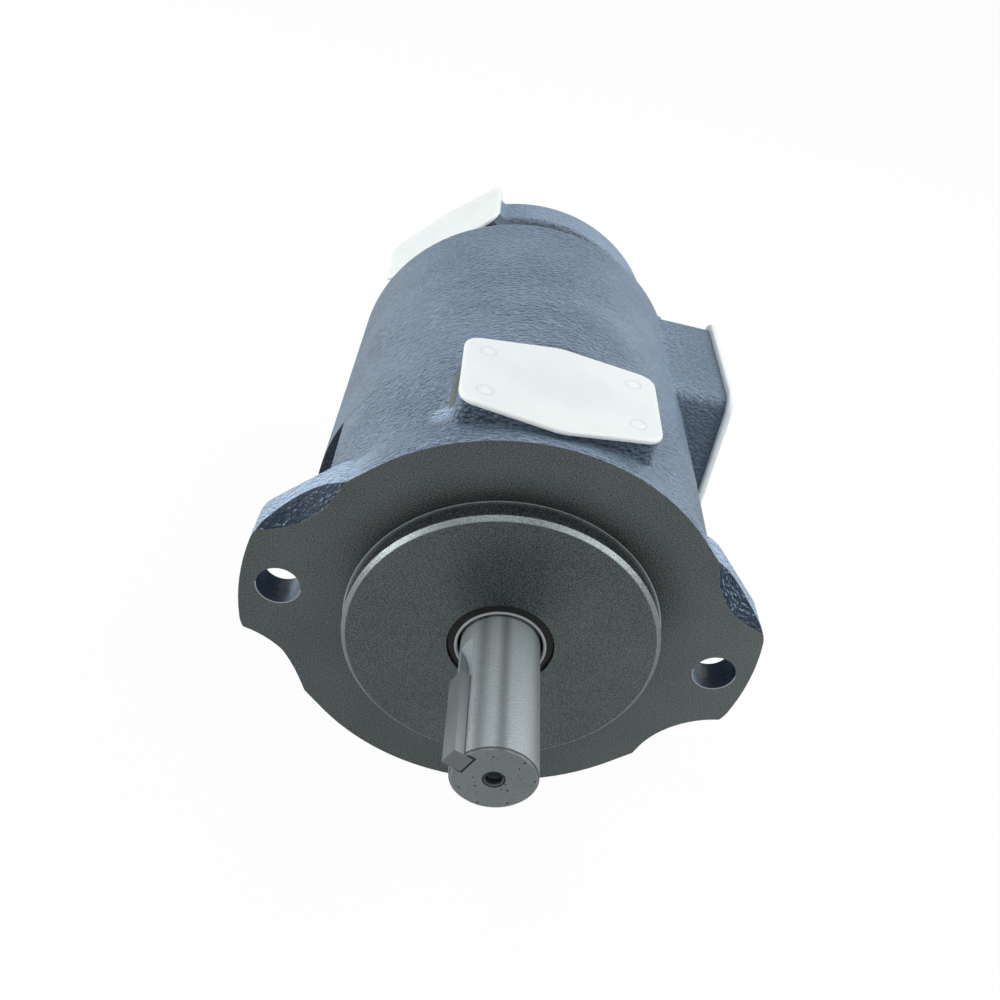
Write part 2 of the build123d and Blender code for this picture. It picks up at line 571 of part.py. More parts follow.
class Cartridge:
    """One set of pumping parts, drawn from its outlet face upwards."""

    def __init__(self, name, face, up, plate_r, ring_width, rotor_r, lift, vane_height,
                 vane_thick, spline_r, outlet_plate, inlet_plate, hub_r, hub_length, hub_seal, bore_r):
        self.name = name
        self.face = face
        self.up = up
        self.place = Pos(0, 0, face) if up > 0 else Pos(0, 0, face) * Rot(180, 0, 0)
        self.plate_r = plate_r
        self.ring_width = ring_width
        self.rotor_r = rotor_r
        self.minor_r = rotor_r + CAM_GAP
        self.major_r = rotor_r + CAM_GAP + lift
        self.lift = lift
        self.vane_height = vane_height
        self.vane_thick = vane_thick
        self.tip_r = rotor_r - VANE_SUNK
        self.spline_r = spline_r
        self.outlet_plate = outlet_plate
        self.inlet_plate = inlet_plate
        self.hub_r = hub_r
        self.hub_length = hub_length
        self.hub_seal = hub_seal
        self.bore_r = bore_r
        self.ring_from = outlet_plate + FLEX
        self.ring_to = self.ring_from + ring_width
        self.length = self.ring_to + FLEX + inlet_plate
        self.screw_circle_r = (self.major_r + plate_r) / 2
        self.window_r = (self.minor_r + self.major_r) / 2
        self.insert_height = vane_height - lift - 1.2

    def pump_z(self, height):
        return self.face + self.up * height

    def screw_holes(self, radius, low, high):
        return [Pos(s * self.screw_circle_r, 0, 0) * rod(radius, low, high) for s in (-1, 1)]

    def pin_holes(self, radius, low, high):
        return [Pos(0, s * self.screw_circle_r, 0) * rod(radius, low, high) for s in (-1, 1)]

    def windows(self, start, low, high):
        return [arc_slot(self.window_r, self.lift, start + turn, start + turn + WINDOW_ANGLE, low, high)
                for turn in (0, 180)]

    def wide_windows(self, start, low, high):
        width = WIDE_WINDOW
        return [arc_slot(self.major_r + width / 2 - 1.5, width, start + turn,
                         start + turn + WINDOW_ANGLE, low, high) for turn in (0, 180)]

    def outlet_support(self):
        top = self.outlet_plate
        plate = rod(self.plate_r, 0, top) + rod(self.hub_r, -self.hub_length, OVER)
        cuts = [rod(self.bore_r, -self.hub_length - OVER, top + OVER)]
        cuts += self.windows(OUTLET_START, top / 2 - 1, top + OVER)
        cuts += self.wide_windows(OUTLET_START, -OVER, top / 2 + 1)
        cuts += self.screw_holes(SCREW_R + SEAT, top - SCREW_THREAD - 1, top + OVER)
        cuts += self.pin_holes(PIN_R + SEAT, top - PIN_DEPTH - 1, top + OVER)
        cuts.append(ring(self.hub_r + OVER, self.hub_r - HUB_SEAL_SECTION,
                         -self.hub_seal - HUB_SEAL_SECTION / 2 - SEAT, -self.hub_seal + HUB_SEAL_SECTION / 2 + SEAT))
        return self.place * cut(plate, cuts)

    def hub_ring(self):
        return self.place * o_ring(self.hub_r, HUB_SEAL_SECTION - 2 * SEAT, -self.hub_seal)

    def flex_plates(self):
        plate = rod(self.plate_r - 0.5, 0, FLEX - 2 * SEAT)
        cuts = [rod(self.bore_r, -OVER, FLEX + OVER)]
        cuts += self.windows(OUTLET_START, -OVER, FLEX + OVER) + self.windows(INLET_START, -OVER, FLEX + OVER)
        cuts += self.screw_holes(SCREW_HOLE_R, -OVER, FLEX + OVER)
        cuts += self.pin_holes(PIN_R + SEAT, -OVER, FLEX + OVER)
        plate = cut(plate, cuts)
        return [self.place * Pos(0, 0, z + SEAT) * plate for z in (self.outlet_plate, self.ring_to)]

    def cam_radius(self, angle):
        """Radius of the cam track at an angle from its long axis."""
        a = abs((angle + 90) % 180 - 90)
        if a < CAM_DWELL:
            return self.major_r
        if a > 90 - CAM_DWELL:
            return self.minor_r
        u = (a - CAM_DWELL) / (90 - 2 * CAM_DWELL)
        return self.minor_r + self.lift * (1 + cos(pi * u)) / 2

    def cam_ring(self):
        points = []
        for i in range(CAM_POINTS):
            a = 360 * i / CAM_POINTS
            points.append((self.cam_radius(a) * cos(radians(a)), self.cam_radius(a) * sin(radians(a))))
        track = Pos(0, 0, self.ring_from - OVER) * extrude(
            make_face(Spline(*points, periodic=True)), self.ring_width + 2 * OVER)
        body = rod(self.plate_r - 0.5, self.ring_from, self.ring_to)
        cuts = [track] + self.screw_holes(SCREW_HOLE_R, self.ring_from - OVER, self.ring_to + OVER)
        cuts += self.pin_holes(PIN_R + SEAT, self.ring_from - OVER, self.ring_to + OVER)
        return self.place * cut(body, cuts)

    def inlet_support(self):
        low, high = self.ring_to + FLEX, self.length
        plate = rod(self.plate_r, low, high)
        cuts = [rod(self.bore_r, low - OVER, high + OVER)]
        cuts += self.windows(INLET_START, low - OVER, low + self.inlet_plate / 2 + 1)
        cuts += self.wide_windows(INLET_START, low + self.inlet_plate / 2 - 1, high + OVER)
        cuts += self.screw_holes(SCREW_HOLE_R, low - OVER, high + OVER)
        cuts += self.screw_holes(SCREW_HEAD_R + 0.3, high - SCREW_HEAD_H - 0.5, high + OVER)
        cuts += self.pin_holes(PIN_R + SEAT, low - OVER, low + PIN_DEPTH + 1)
        return self.place * cut(plate, cuts)

    def screws(self):
        head = self.length - SCREW_HEAD_H - 0.5 + SEAT
        screw = rod(SCREW_R, self.outlet_plate - SCREW_THREAD, head + 1) + rod(
            SCREW_HEAD_R, head, head + SCREW_HEAD_H)
        screw -= hexagon(SCREW_SOCKET, head + SCREW_HEAD_H / 2, head + SCREW_HEAD_H + OVER)
        return [self.place * Pos(s * self.screw_circle_r, 0, 0) * screw for s in (-1, 1)]

    def pins(self):
        pin = rod(PIN_R, self.outlet_plate - PIN_DEPTH, self.ring_to + FLEX + PIN_DEPTH)
        return [self.place * Pos(0, s * self.screw_circle_r, 0) * pin for s in (-1, 1)]

    def slot_floor(self):
        return self.tip_r - self.vane_height - 0.3

    def rotor(self):
        low, high = self.ring_from + FACE, self.ring_to - FACE
        body = rod(self.rotor_r, low, high)
        floor, top = self.slot_floor(), self.rotor_r + OVER
        slot = Pos((floor + top) / 2, 0, (low + high) / 2) * Box(
            top - floor, self.vane_thick + 2 * VANE_PLAY, high - low + OVER)
        side = (high - low) * (1 - INSERT_SHARE) / 2
        for z in (low + side / 2 - 1, high - side / 2 + 1):
            slot += Pos(floor, 0, z) * Cylinder(self.vane_thick * 0.75, side - 1)
        cuts = around(slot, VANE_COUNT, VANE_TURN)
        cuts.append(spline(self.spline_r, low - OVER, high + OVER, 2 * SEAT))
        return self.place * cut(body, cuts)

    def vane_blank(self):
        """A vane along the x axis, pushed all the way in."""
        low, high = self.ring_from + 2 * FACE, self.ring_to - 2 * FACE
        bottom = self.tip_r - self.vane_height
        half = self.vane_thick / 2
        vane = Pos((bottom + self.tip_r) / 2, 0, (low + high) / 2) * Box(
            self.vane_height, self.vane_thick, high - low)
        tips = vane.edges().filter_by(Axis.Z).sort_by(Axis.X)[-2:]
        vane = chamfer(tips, half * 0.7, half * 0.8)
        notch = self.insert_height + 0.3
        return vane - Pos(bottom + notch / 2 - OVER / 2, 0, (low + high) / 2) * Box(
            notch + OVER, self.vane_thick + OVER, (high - low) * INSERT_SHARE + 2 * VANE_PLAY)

    def vane(self, i):
        return self.place * Rot(0, 0, VANE_TURN + i * 360 / VANE_COUNT) * self.vane_blank()

    def inserts(self):
        low, high = self.ring_from + 2 * FACE, self.ring_to - 2 * FACE
        floor = self.slot_floor() + SEAT
        top = self.tip_r - self.vane_height + self.insert_height
        block = Pos((floor + top) / 2, 0, (low + high) / 2) * Box(
            top - floor, self.vane_thick, (high - low) * INSERT_SHARE)
        return [self.place * piece for piece in around(block, VANE_COUNT, VANE_TURN)]


FRONT = Cartridge("front", -CARTRIDGE_SHOULDER, -1, FRONT_PLATE_R, FRONT_RING_WIDTH, FRONT_ROTOR_R,
                  FRONT_LIFT, FRONT_VANE_HEIGHT, FRONT_VANE_THICK, FRONT_SPLINE_R, FRONT_OUTLET_PLATE,
                  FRONT_INLET_PLATE, FRONT_HUB_R, FRONT_HUB_LENGTH, FRONT_HUB_SEAL, FRONT_BORE_R)
REAR = Cartridge("rear", -REAR_SHOULDER, 1, REAR_PLATE_R, REAR_RING_WIDTH, REAR_ROTOR_R, REAR_LIFT,
                 REAR_VANE_HEIGHT, REAR_VANE_THICK, REAR_SPLINE_R, REAR_OUTLET_PLATE, REAR_INLET_PLATE,
                 REAR_HUB_R, REAR_HUB_LENGTH, REAR_HUB_SEAL, REAR_BORE_R)


def spacer():
    """The windowed sleeve that keeps the two cartridges apart in the inlet chamber."""
    low, high = REAR.pump_z(REAR.length) + SEAT, FRONT.pump_z(FRONT.length) - SEAT
    sleeve = ring(SPACER_R, SPACER_R - SPACER_WALL, low, high)
    window = Pos(SPACER_R, 0, (low + high) / 2) * Box(4 * SPACER_WALL, SPACER_R * 0.95, (high - low) * 0.62)
    return cut(sleeve, around(window, SPACER_WINDOWS, 45))


def port_cover(frame, boss, corner, plate, bolts, tap_r, overhang=(COVER_OVERHANG, COVER_OVERHANG)):
    """A plastic plate with four hollow pegs that push into the tapped holes of a port."""
    end, side = overhang
    sizes = [boss[0] + 2 * end, boss[1] + 2 * side, boss[2] + 2 * side]
    body = Pos(0, 0, COVER_SEAT) * extrude(long_hexagon(*sizes, corner + side), plate)
    edge = body.edges().group_by(Axis.Z)[-1]
    body = chamfer(edge, 0.5)
    for x, y in corners(bolts):
        body += Pos(x, y, COVER_SEAT + 0.5) * rod(tap_r - PEG_PLAY, -PEG_LENGTH, 0)
        top = COVER_SEAT + plate
        body -= Pos(x, y, 0) * ring(DIMPLE_R, DIMPLE_R - 1.1, top - DIMPLE_DEPTH, top + OVER)
    return frame.location * body


def cut(body, tools):
    for tool in tools:
        body = body - tool
    return body


def nodes():
    """Every piece by name, in the pump's own frame."""
    made = {
        "body_casting": body_casting(),
        "rear_cover": rear_cover(),
        "cover_seal_ring": o_ring(SPIGOT_R, COVER_SEAL_SECTION - 2 * SEAT, -BODY_LENGTH + COVER_SEAL_PLACE),
        "cover_bolts": cover_bolts(),
        "shaft_seal": shaft_seal(),
        "shaft_seal_case": seal_case(),
        "garter_spring": garter_spring(),
        "bearing_outer_race": outer_race(),
        "bearing_inner_race": inner_race(),
        "bearing_balls": balls(),
        "bearing_cage": ball_cage(),
        "bearing_retaining_ring": open_ring(BEARING_RING_R, BEARING_RING_INNER_R, RING_BACK,
                                            BEARING_BACK - SEAT, -90),
        "shaft_retaining_ring": open_ring(SHAFT_RING_R, SHAFT_RING_SEAT_R + SEAT, -BEARING_FRONT + SEAT,
                                          -BEARING_FRONT + SHAFT_RING_WIDTH, 40),
        "rear_bush": rear_bush(),
        "shaft": shaft(),
        "shaft_key": key(),
        "cartridge_spacer": spacer(),
        "front_port_cover": port_cover(P1_FRAME, P1_BOSS, P1_CORNER, COVER_PLATE, P1_BOLTS, P1_TAP_R,
                                       P1_COVER_OVERHANG),
        "inlet_port_cover": port_cover(INLET_FRAME, INLET_BOSS, INLET_CORNER, INLET_COVER_PLATE,
                                       INLET_BOLTS, INLET_TAP_R),
        "rear_port_cover": port_cover(P2_FRAME, P2_BOSS, P2_CORNER, COVER_PLATE, P2_BOLTS, P2_TAP_R),
    }
    for c in (FRONT, REAR):
        made[c.name + "_outlet_plate"] = c.outlet_support()
        made[c.name + "_hub_seal"] = c.hub_ring()
        made[c.name + "_flex_plates"] = c.flex_plates()
        made[c.name + "_cam_ring"] = c.cam_ring()
        made[c.name + "_inlet_plate"] = c.inlet_support()
        made[c.name + "_cartridge_screws"] = c.screws()
        made[c.name + "_dowel_pins"] = c.pins()
        made[c.name + "_rotor"] = c.rotor()
        made[c.name + "_vane_inserts"] = c.inserts()
        for i in range(VANE_COUNT):
            made[c.name + "_vane_" + str(i + 1).zfill(2)] = c.vane(i)
    return made


os.makedirs("parts", exist_ok=True)
for name, piece in nodes().items():
    pieces = piece if isinstance(piece, list) else [piece]
    turned_up = [(Rot(90, 0, 0) * p).solids()[0] for p in pieces]
    export_step(turned_up[0] if len(turned_up) == 1 else Compound(turned_up), "parts/" + name + ".step")
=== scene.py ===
"""Finishes, port covers and stage for a double vane pump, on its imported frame."""
import math

import bpy
from bpy.props import FloatProperty, FloatVectorProperty, IntProperty, PointerProperty
from mathutils import Euler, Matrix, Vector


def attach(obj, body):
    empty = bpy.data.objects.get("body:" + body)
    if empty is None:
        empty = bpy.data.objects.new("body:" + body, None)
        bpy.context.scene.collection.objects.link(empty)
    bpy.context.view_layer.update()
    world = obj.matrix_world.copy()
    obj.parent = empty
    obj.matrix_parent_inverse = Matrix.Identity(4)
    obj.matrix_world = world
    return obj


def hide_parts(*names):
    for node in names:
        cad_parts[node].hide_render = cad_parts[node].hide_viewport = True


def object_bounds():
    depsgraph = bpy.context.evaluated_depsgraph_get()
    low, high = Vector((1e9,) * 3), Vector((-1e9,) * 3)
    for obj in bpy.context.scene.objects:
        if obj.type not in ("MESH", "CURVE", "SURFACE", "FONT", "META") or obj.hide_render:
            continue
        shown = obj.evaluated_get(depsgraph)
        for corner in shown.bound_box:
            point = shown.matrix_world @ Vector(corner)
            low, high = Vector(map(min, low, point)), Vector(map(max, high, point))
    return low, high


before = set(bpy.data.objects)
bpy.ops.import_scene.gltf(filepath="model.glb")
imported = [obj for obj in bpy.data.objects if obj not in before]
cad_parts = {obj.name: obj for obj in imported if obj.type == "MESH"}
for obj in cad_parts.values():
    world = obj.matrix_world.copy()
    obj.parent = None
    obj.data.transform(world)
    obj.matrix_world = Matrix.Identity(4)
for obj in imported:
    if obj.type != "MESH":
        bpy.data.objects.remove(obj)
CAD_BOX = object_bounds()

bl_info = {
    "name": "Double vane pump",
    "version": (1, 0, 0),
    "blender": (4, 5, 0),
    "location": "View3D > Sidebar > Vane pump",
    "description": "Dresses a double vane pump: painted castings, machined flange, shaft and port covers",
    "category": "Object",
}

MM = 0.001
SKIN = 0.05 * MM        # how far a bare face reaches past its true place, so that it is all bare

# Places on the castings: X runs to the inlet side, Y back from the mounting face and Z up
PILOT_R = 63.5 * MM
PILOT_H = 9.5 * MM
PILOT_CHAMFER = 1.6 * MM
HOLE_X = 90.5 * MM      # mounting bolt holes
HOLE_R = 8.75 * MM
EAR_ROOT_X = 58 * MM    # where the ears start to stand out of the round rim
EAR_OUT_X = 76 * MM     # where they are clear of it
EAR_BACK = 19 * MM
SCOOP_X = 110 * MM      # axes of the conical hollows between ears and rim
SCOOP_Z = 62.6 * MM
SCOOP_R = 38 * MM
SCOOP_SLOPE = math.tan(math.radians(37.0))
SCOOP_BACK = 9 * MM     # how far back the hollows reach
BODY_R = 87 * MM
BODY_END = 218.5 * MM
BODY_BORE_R = 66 * MM
RELIEF_END = 72.4 * MM  # rear wall of the room for the mounting bolts, in both flanks
FRONT_PORT_Y = 37 * MM
FRONT_PORT_FACE = 92.2 * MM
FRONT_PORT_BOLTS = (29.35 * MM, 15.1 * MM)
WORN_STRIP = (-39.2 * MM, 42 * MM, 78.5 * MM)    # bare edge of the front boss: x, y and lowest z
FILLET_HIGHLIGHT = (-42 * MM, 27 * MM, 77 * MM)              # painted highlight on the fillet at the foot of the front boss
INLET_FACE = 94.5 * MM
INLET_START = 60 * MM
REAR_PORT_FACE = 76 * MM
NECK_END = 249 * MM     # where the rear cover's neck meets its rim
REAR_BORE_R = 54.6 * MM
REAR_BORE_END = 271 * MM

# Places on the shaft
SHAFT_FRONT = CAD_BOX[0][1]
SHAFT_CHAMFER = 1 * MM
HOLE_SHADE_R = 4.2 * MM             # dark ring of the centre hole
KEY_TURN = math.radians(157.0)
KEY_SIDES = (-4.75 * MM, 4.2 * MM)  # dark gaps beside the key, on the shaft's end
KEY_FOOT = 10.75 * MM
KEYWAY_R = 16.2 * MM

# Painted reflection bands along the shaft, brighter and darker: angle from the top, half width and change
SHAFT_REFLECTION_BANDS = ((-0.07, 0.20, -0.85), (-0.60, 0.26, -0.75), (0.42, 0.45, 0.35), (1.05, 0.35, -0.6),
               (2.2, 0.5, -0.25), (-2.4, 0.5, -0.25))

CAMERA_PLACE = (-0.05884, -0.32509, 0.29108)
CAMERA_TURN = (54.010, -13.464, 1.989)
LAMPS = (("top_lamp", "top_light", -20, 0.22), ("left_lamp", "left_light", -80, 0.36),
         ("right_lamp", "right_light", 46, 0.9))
LAMP_Y = 0.28
LAMP_LENGTH = 1.5
FLOOR_SIZE = 12
FLOOR_GAP = 0.5 * MM


class Value:
    """A shader socket that takes part in Python arithmetic."""

    def __init__(self, tree, socket):
        self.tree = tree
        self.socket = socket

    def math(self, operation, *values):
        node = self.tree.nodes.new("ShaderNodeMath")
        node.operation = operation
        for place, value in zip(node.inputs, values):
            feed(self.tree, place, value)
        return Value(self.tree, node.outputs[0])

    def __add__(self, other):
        return self.math("ADD", self, other)

    def __radd__(self, other):
        return self.math("ADD", other, self)

    def __sub__(self, other):
        return self.math("SUBTRACT", self, other)

    def __rsub__(self, other):
        return self.math("SUBTRACT", other, self)

    def __mul__(self, other):
        return self.math("MULTIPLY", self, other)

    def __pow__(self, other):
        return self.math("POWER", self, other)

    def above(self, limit):
        return self.math("GREATER_THAN", self, limit)

    def below(self, limit):
        return self.math("LESS_THAN", self, limit)

    def at_most(self, other):
        return self.math("MINIMUM", self, other)

    def at_least(self, other):
        return self.math("MAXIMUM", self, other)

    def size(self):
        return self.math("ABSOLUTE", self)

    def sine(self):
        return self.math("SINE", self)

    def near(self, middle, reach):
        """1 where the value lies within reach of the middle."""
        return (self - middle).size().below(reach)

    def ease(self, start, end):
        """0 below start, 1 above end, smooth between."""
        node = self.tree.nodes.new("ShaderNodeMapRange")
        node.interpolation_type = "SMOOTHSTEP"
        feed(self.tree, node.inputs["Value"], self)
        node.inputs["From Min"].default_value = start
        node.inputs["From Max"].default_value = end
        return Value(self.tree, node.outputs[0])


def feed(tree, place, value):
    """Links a socket or sets its own value."""
    if isinstance(value, Value):
        tree.links.new(value.socket, place)
    else:
        place.default_value = value


def tint(colour, factor=1.0):
    """A colour made lighter or darker, with its alpha."""
    return (*[min(1.0, part * factor) for part in colour[:3]], 1.0)


class Finish:
    """One material while its nodes are being put together."""

    def __init__(self, name):
        self.material = bpy.data.materials.new(name)
        self.material.use_nodes = True
        self.tree = self.material.node_tree
        self.tree.nodes.clear()
        self.place = self.node("ShaderNodeTexCoord", output="Object")

    def node(self, kind, settings=None, sockets=None, output=0):
        """Any node: its settings first, then its sockets. Returns one of its outputs."""
        node = self.tree.nodes.new(kind)
        for key, value in (settings or {}).items():
            setattr(node, key, value)
        for key, value in (sockets or {}).items():
            feed(self.tree, node.inputs[key], value)
        return Value(self.tree, node.outputs[output])

    def axes(self, vector=None):
        """The three parts of a vector, or of the place on the object."""
        node = self.tree.nodes.new("ShaderNodeSeparateXYZ")
        feed(self.tree, node.inputs[0], vector or self.place)
        return [Value(self.tree, socket) for socket in node.outputs]

    def vector(self, x, y, z):
        return self.node("ShaderNodeCombineXYZ", sockets={"X": x, "Y": y, "Z": z})

    def noise(self, scale, detail=4.0, rough=0.5, vector=None, twist=0.0):
        return self.node("ShaderNodeTexNoise", sockets={
            "Vector": vector or self.place, "Scale": scale, "Detail": detail, "Roughness": rough,
            "Distortion": twist})

    def blend(self, factor, first, second):
        """Mixes two colours."""
        return self.node("ShaderNodeMix", {"data_type": "RGBA"}, {0: factor, 6: first, 7: second}, output=2)

    def blend_vectors(self, factor, first, second):
        """Mixes two places or two normals."""
        return self.node("ShaderNodeMix", {"data_type": "VECTOR"}, {0: factor, 4: first, 5: second},
                         output=1)

    def bump(self, height, depth, normal=None):
        """Turns a height from 0 to 1 into a relief of that depth in metres."""
        sockets = {"Height": height, "Distance": depth, "Strength": 1.0}
        if normal is not None:
            sockets["Normal"] = normal
        return self.node("ShaderNodeBump", sockets=sockets)

    def edges(self, radius):
        """The normal with its edges rounded, and how far it turns from the plain one there."""
        rounded = self.node("ShaderNodeBevel", {"samples": 4}, {"Radius": radius})
        plain = self.node("ShaderNodeNewGeometry", output="Normal")
        same = self.node("ShaderNodeVectorMath", {"operation": "DOT_PRODUCT"}, {0: rounded, 1: plain},
                         output="Value")
        return rounded, (1.0 - same)

    def surface(self, **sockets):
        """Ends the material with one Principled shader."""
        named = {key.replace("_", " "): value for key, value in sockets.items()}
        shader = self.node("ShaderNodeBsdfPrincipled", sockets=named)
        output = self.tree.nodes.new("ShaderNodeOutputMaterial")
        self.tree.links.new(shader.socket, output.inputs["Surface"])
        return self.material


class PumpFinish(Finish):
    """A material that knows its place: x, y, z, distance from the shaft axis and angle round it."""

    def __init__(self, name):
        super().__init__(name)
        self.x, self.y, self.z = self.axes()
        self.radius = (self.x * self.x + self.z * self.z) ** 0.5
        self.angle = self.x.math("ARCTAN2", self.x, self.z)


class CastingSettings(bpy.types.PropertyGroup):
    """Paint and casting texture of the body and the rear cover."""
    paint: FloatVectorProperty(
        name="Paint", description="Blue-grey paint of the castings", subtype="COLOR",
        default=(0.235, 0.325, 0.435), min=0, max=1)
    # painted shade: this dark colour stands in the wrinkles, on the relief wall, the inlet side, the rear
    # cover's neck and walls that face forward
    shaded_paint: FloatVectorProperty(
        name="Thick paint", description="Darker paint where it gathers in the hollows of the skin",
        subtype="COLOR", default=(0.06, 0.092, 0.135), min=0, max=1)
    # painted shade in the conical hollows of the flange
    scoop_shade: FloatVectorProperty(
        name="Hollow paint", description="Dark paint in the conical hollows of the flange",
        subtype="COLOR", default=(0.003, 0.022, 0.050), min=0, max=1)
    # painted shade in the mounting bolt holes
    bolt_hole_shade: FloatVectorProperty(
        name="Hole paint", description="Dark paint in the mounting bolt holes", subtype="COLOR",
        default=(0.006, 0.020, 0.042), min=0, max=1)
    bare: FloatVectorProperty(
        name="Bare iron", description="Machined flange face and pilot", subtype="COLOR",
        default=(0.172, 0.198, 0.198), min=0, max=1)
    wrinkle: FloatProperty(
        name="Skin relief", description="Height of the wrinkles that the sand leaves",
        default=4.0 * MM, subtype="DISTANCE", min=0, max=8 * MM)
    soft_edge: FloatProperty(
        name="Edge softness", description="Radius of the cast edges", default=1.6 * MM,
        subtype="DISTANCE", min=0, max=5 * MM)


class MetalSettings(bpy.types.PropertyGroup):
    """Colours of the bare steel and bronze pieces."""
    shaft: FloatVectorProperty(
        name="Shaft", description="Ground steel of the shaft", subtype="COLOR",
        default=(0.84, 0.965, 1.0), min=0, max=1)
    end: FloatVectorProperty(
        name="Shaft end", description="Sawn end face of the shaft", subtype="COLOR",
        default=(0.31, 0.35, 0.355), min=0, max=1)
    rings: FloatProperty(
        name="Grinding rings", description="Height of the fine rings round the shaft",
        default=0.35 * MM, subtype="DISTANCE", min=0, max=3 * MM)
    # dark colour of the real pits and the gaps beside the key, and painted shade in the keyway and the
    # centre hole
    grime_and_shade: FloatVectorProperty(
        name="Grime", description="Pits, keyway and the gaps beside the key", subtype="COLOR",
        default=(0.03, 0.034, 0.038), min=0, max=1)
    key: FloatVectorProperty(
        name="Key", description="Drawn steel of the key", subtype="COLOR",
        default=(0.26, 0.285, 0.30), min=0, max=1)
    bright: FloatVectorProperty(
        name="Bright steel", description="Hardened and ground pieces", subtype="COLOR",
        default=(0.62, 0.63, 0.64), min=0, max=1)
    dark: FloatVectorProperty(
        name="Blackened steel", description="Screws and retaining rings", subtype="COLOR",
        default=(0.035, 0.036, 0.04), min=0, max=1)
    iron: FloatVectorProperty(
        name="Machined iron", description="Plates and spacer of the cartridges", subtype="COLOR",
        default=(0.25, 0.26, 0.26), min=0, max=1)
    bronze: FloatVectorProperty(
        name="Bronze", description="Flex plates and rear bush", subtype="COLOR",
        default=(0.56, 0.37, 0.17), min=0, max=1)


class CoverSettings(bpy.types.PropertyGroup):
    """The plastic covers of the three ports."""
    plastic: FloatVectorProperty(
        name="Plastic", description="Milky plastic of the port covers", subtype="COLOR",
        default=(0.80, 0.855, 0.85), min=0, max=1)
    thin: FloatVectorProperty(
        name="Thin plastic", description="Bluish middle of the plates", subtype="COLOR",
        default=(0.735, 0.80, 0.83), min=0, max=1)
    voxel: FloatProperty(
        name="Skin step", description="Size of the even mesh that the covers are moulded from",
        default=0.52 * MM, subtype="DISTANCE", min=0.2 * MM, max=2 * MM)
    rounding: IntProperty(
        name="Rounding", description="How many times the skin is smoothed", default=7, min=0, max=30)


class StageSettings(bpy.types.PropertyGroup):
    """Camera, lamps and floor."""
    lens: FloatProperty(
        name="Lens", description="Focal length of the camera in millimetres", default=39.02,
        min=10, max=200)
    top_light: FloatProperty(
        name="Top light", description="Power of the long lamp above", default=3.0, subtype="POWER",
        min=0, max=200)
    left_light: FloatProperty(
        name="Left light", description="Power of the long lamp on the left", default=7.6,
        subtype="POWER", min=0, max=200)
    right_light: FloatProperty(
        name="Right light", description="Power of the long lamp on the right", default=9.6,
        subtype="POWER", min=0, max=200)
    world: FloatProperty(
        name="Room light", description="Strength of the light from all round", default=0.41,
        min=0, max=2)
    mirrored: FloatProperty(
        name="Mirrored floor", description="How bright the floor shows in the metal", default=0.34,
        min=0, max=1)


def skin_relief(finish, scoop, across):
    """The leathery skin of a sand casting, and its slope along the pump.

    Its short wrinkles run round the body, or lie flat where across is 1, and are deeper in patches.
    """
    around = finish.angle * BODY_R * 0.6
    wrapped, shifted = [finish.blend_vectors(
        across, finish.vector(around, finish.y + shift, finish.radius * 0.7),
        finish.vector(finish.x * 0.7, finish.z + shift, finish.y)) for shift in (0.0, 0.4 * MM)]
    wrinkles = finish.noise(780.0, 2.0, 0.5, wrapped, twist=0.3)
    lower = finish.noise(780.0, 2.0, 0.5, shifted, twist=0.3)
    folds = finish.noise(420.0, 2.0, 0.5, wrapped, twist=0.5)
    patches = finish.noise(21.0, 2.0, 0.5).ease(0.36, 0.66)
    smooth_side = finish.x.ease(5 * MM, 55 * MM) * finish.y.ease(70 * MM, 120 * MM)
    depth = (0.55 + patches * 0.45) * (1.0 - smooth_side * 0.5) * (1.0 - scoop * 0.45)
    relief = (wrinkles * 0.6 + folds * 0.4 - 0.5) * depth + 0.5
    return relief, (wrinkles - lower) * depth


def flow_marks(finish):
    """A few short flow marks on top of the body, behind the front port."""
    spot = ((finish.x - 4 * MM) ** 2 * 0.35 + (finish.y - 81 * MM) ** 2 * 4.0) ** 0.5
    near = (1.0 - spot.ease(3 * MM, 9 * MM)) * finish.z.above(60 * MM)
    bend = finish.noise(160.0, 1.0, 0.5)
    return (finish.y * 3900.0 + bend * 7.0).sine() * near


def painted_skin(finish, settings, relief, slope, edge):
    """Paint with painted shade in the wrinkles and painted highlights on their upper sides and on the
    edges.
    """
    broad = finish.noise(32.0, 3.0, 0.5)
    # painted shade in the hollows of the skin and a painted highlight on the wrinkles' upper sides (the
    # slope), with a broad random tone
    pale = (relief - 0.5) * 3.0 + slope * 8.5 + (broad - 0.5) * 0.6 + 0.66
    pale = pale.at_most(1.0).at_least(0.0)
    paint = finish.blend(pale, tint(settings.shaded_paint), tint(settings.paint))
    # painted highlight on the rounded edges
    return finish.blend(edge.ease(0.02, 0.22) * 0.55, paint, tint(settings.paint, 1.7))


